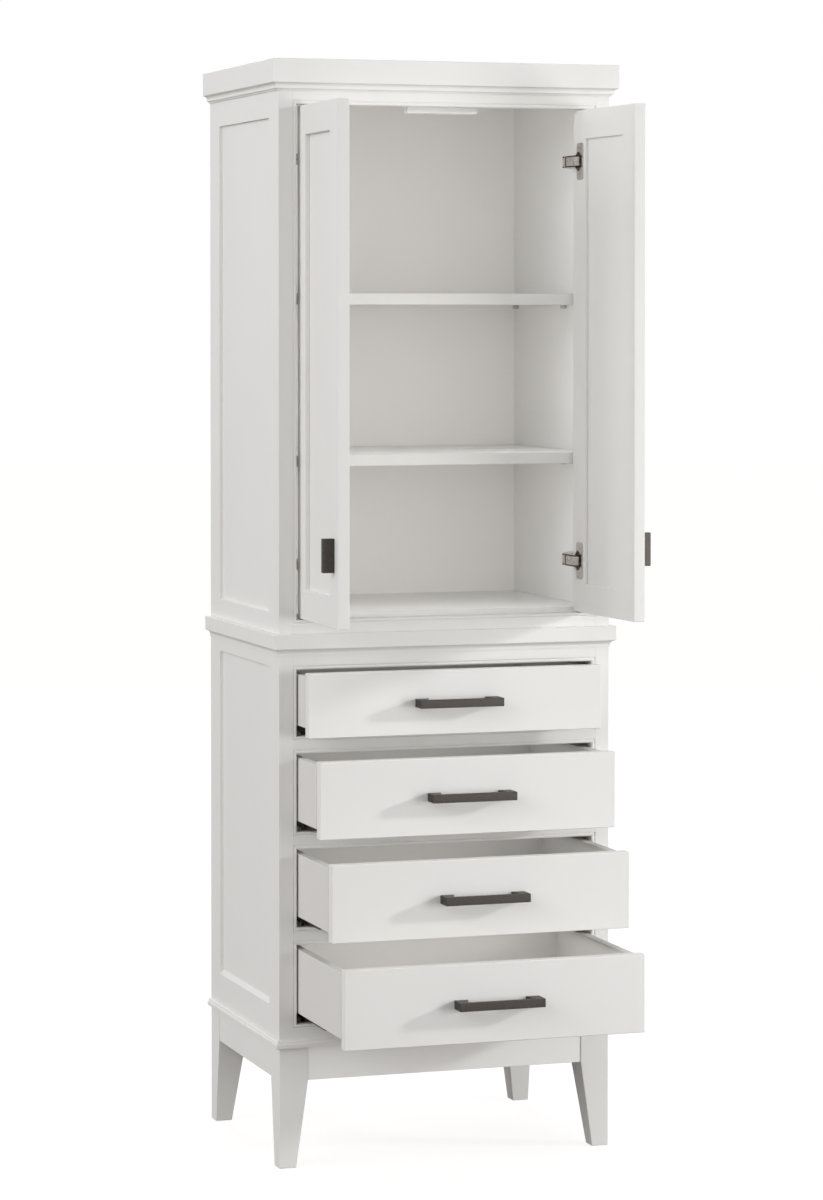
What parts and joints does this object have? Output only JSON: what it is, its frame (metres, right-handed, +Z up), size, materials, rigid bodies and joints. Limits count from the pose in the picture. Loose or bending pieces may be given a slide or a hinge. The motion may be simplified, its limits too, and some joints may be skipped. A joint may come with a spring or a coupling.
{
  "type": "linen cabinet",
  "caption": "Tall freestanding linen cabinet with framed doors over drawers, beaded face frame, mitred mouldings, tapered legs and dark pulls",
  "frame": {"origin": "on the floor at the middle of the rest pose's whole outline, doors and drawers as in the picture", "axes": "+Z up, -Y towards the front, +X to the viewer's right when facing the front"},
  "size_m": [0.61, 0.71, 1.838],
  "materials": {
    "white_paint": "satin white paint on wood",
    "pale_paint": "flat pale paint on board, inside the case and drawers",
    "dark_bronze": "satin dark bronze",
    "hinge_nickel": "nickel plating",
    "runner_steel": "black coated steel"
  },
  "bodies": {
    "cabinet": {"left_side_frame": "white_paint", "right_side_frame": "white_paint", "left_side_panels": "white_paint", "right_side_panels": "white_paint", "back_panel": "pale_paint", "top_board": "white_paint", "cupboard_floor": "white_paint", "case_bottom": "white_paint", "left_stile": "white_paint", "right_stile": "white_paint", "top_rail": "white_paint", "waist_rail": "white_paint", "drawer_rails": "white_paint", "bottom_rail": "white_paint", "cornice": "white_paint", "waist_moulding": "white_paint", "base_moulding": "white_paint", "front_legs": "white_paint", "back_legs": "white_paint", "aprons": "white_paint", "upper_shelf": "white_paint", "lower_shelf": "white_paint", "shelf_pins": "hinge_nickel", "door_stop": "white_paint", "hinge_arms": "hinge_nickel", "slide_brackets": "runner_steel", "cabinet_slides": "runner_steel"},
    "left_door": {"left_door_frame": "white_paint", "left_door_panel": "white_paint", "left_door_pull": "dark_bronze", "left_hinge_cups": "hinge_nickel"},
    "right_door": {"right_door_frame": "white_paint", "right_door_panel": "white_paint", "right_door_pull": "dark_bronze", "right_hinge_cups": "hinge_nickel"},
    "drawer_1": {"drawer_1_front": "white_paint", "drawer_1_box": "pale_paint", "drawer_1_bottom": "pale_paint", "drawer_1_pull": "dark_bronze", "drawer_1_slides": "runner_steel"},
    "drawer_1_runners": {"drawer_1_middle": "runner_steel"},
    "drawer_2": {"drawer_2_front": "white_paint", "drawer_2_box": "pale_paint", "drawer_2_bottom": "pale_paint", "drawer_2_pull": "dark_bronze", "drawer_2_slides": "runner_steel"},
    "drawer_2_runners": {"drawer_2_middle": "runner_steel"},
    "drawer_3": {"drawer_3_front": "white_paint", "drawer_3_box": "pale_paint", "drawer_3_bottom": "pale_paint", "drawer_3_pull": "dark_bronze", "drawer_3_slides": "runner_steel"},
    "drawer_3_runners": {"drawer_3_middle": "runner_steel"},
    "drawer_4": {"drawer_4_front": "white_paint", "drawer_4_box": "pale_paint", "drawer_4_bottom": "pale_paint", "drawer_4_pull": "dark_bronze", "drawer_4_slides": "runner_steel"},
    "drawer_4_runners": {"drawer_4_middle": "runner_steel"}
  },
  "joints": [
    {"name": "left_door_hinge", "type": "hinge", "parent": "cabinet", "child": "left_door", "pos_m": [-0.246, -0.062, 1], "axis": [0, 0, -1], "range_deg": [-92.2, 17.8]},
    {"name": "right_door_hinge", "type": "hinge", "parent": "cabinet", "child": "right_door", "pos_m": [0.246, -0.062, 1], "axis": [0, 0, 1], "range_deg": [-92.2, 17.8]},
    {"name": "drawer_1_slide", "type": "slide", "parent": "cabinet", "child": "drawer_1", "axis": [0, -1, 0], "range_m": [-0.055, 0.295]},
    {"name": "drawer_1_runner_slide", "type": "slide", "parent": "cabinet", "child": "drawer_1_runners", "axis": [0, -1, 0], "range_m": [-0.0275, 0.1475]},
    {"name": "drawer_2_slide", "type": "slide", "parent": "cabinet", "child": "drawer_2", "axis": [0, -1, 0], "range_m": [-0.119, 0.231]},
    {"name": "drawer_2_runner_slide", "type": "slide", "parent": "cabinet", "child": "drawer_2_runners", "axis": [0, -1, 0], "range_m": [-0.0595, 0.1155]},
    {"name": "drawer_3_slide", "type": "slide", "parent": "cabinet", "child": "drawer_3", "axis": [0, -1, 0], "range_m": [-0.184, 0.166]},
    {"name": "drawer_3_runner_slide", "type": "slide", "parent": "cabinet", "child": "drawer_3_runners", "axis": [0, -1, 0], "range_m": [-0.092, 0.083]},
    {"name": "drawer_4_slide", "type": "slide", "parent": "cabinet", "child": "drawer_4", "axis": [0, -1, 0], "range_m": [-0.254, 0.096]},
    {"name": "drawer_4_runner_slide", "type": "slide", "parent": "cabinet", "child": "drawer_4_runners", "axis": [0, -1, 0], "range_m": [-0.127, 0.048]}
  ],
  "couplings": [
    {"joint": "drawer_1_runner_slide", "follows": "drawer_1_slide", "ratio": 0.5},
    {"joint": "drawer_2_runner_slide", "follows": "drawer_2_slide", "ratio": 0.5},
    {"joint": "drawer_3_runner_slide", "follows": "drawer_3_slide", "ratio": 0.5},
    {"joint": "drawer_4_runner_slide", "follows": "drawer_4_slide", "ratio": 0.5}
  ]
}
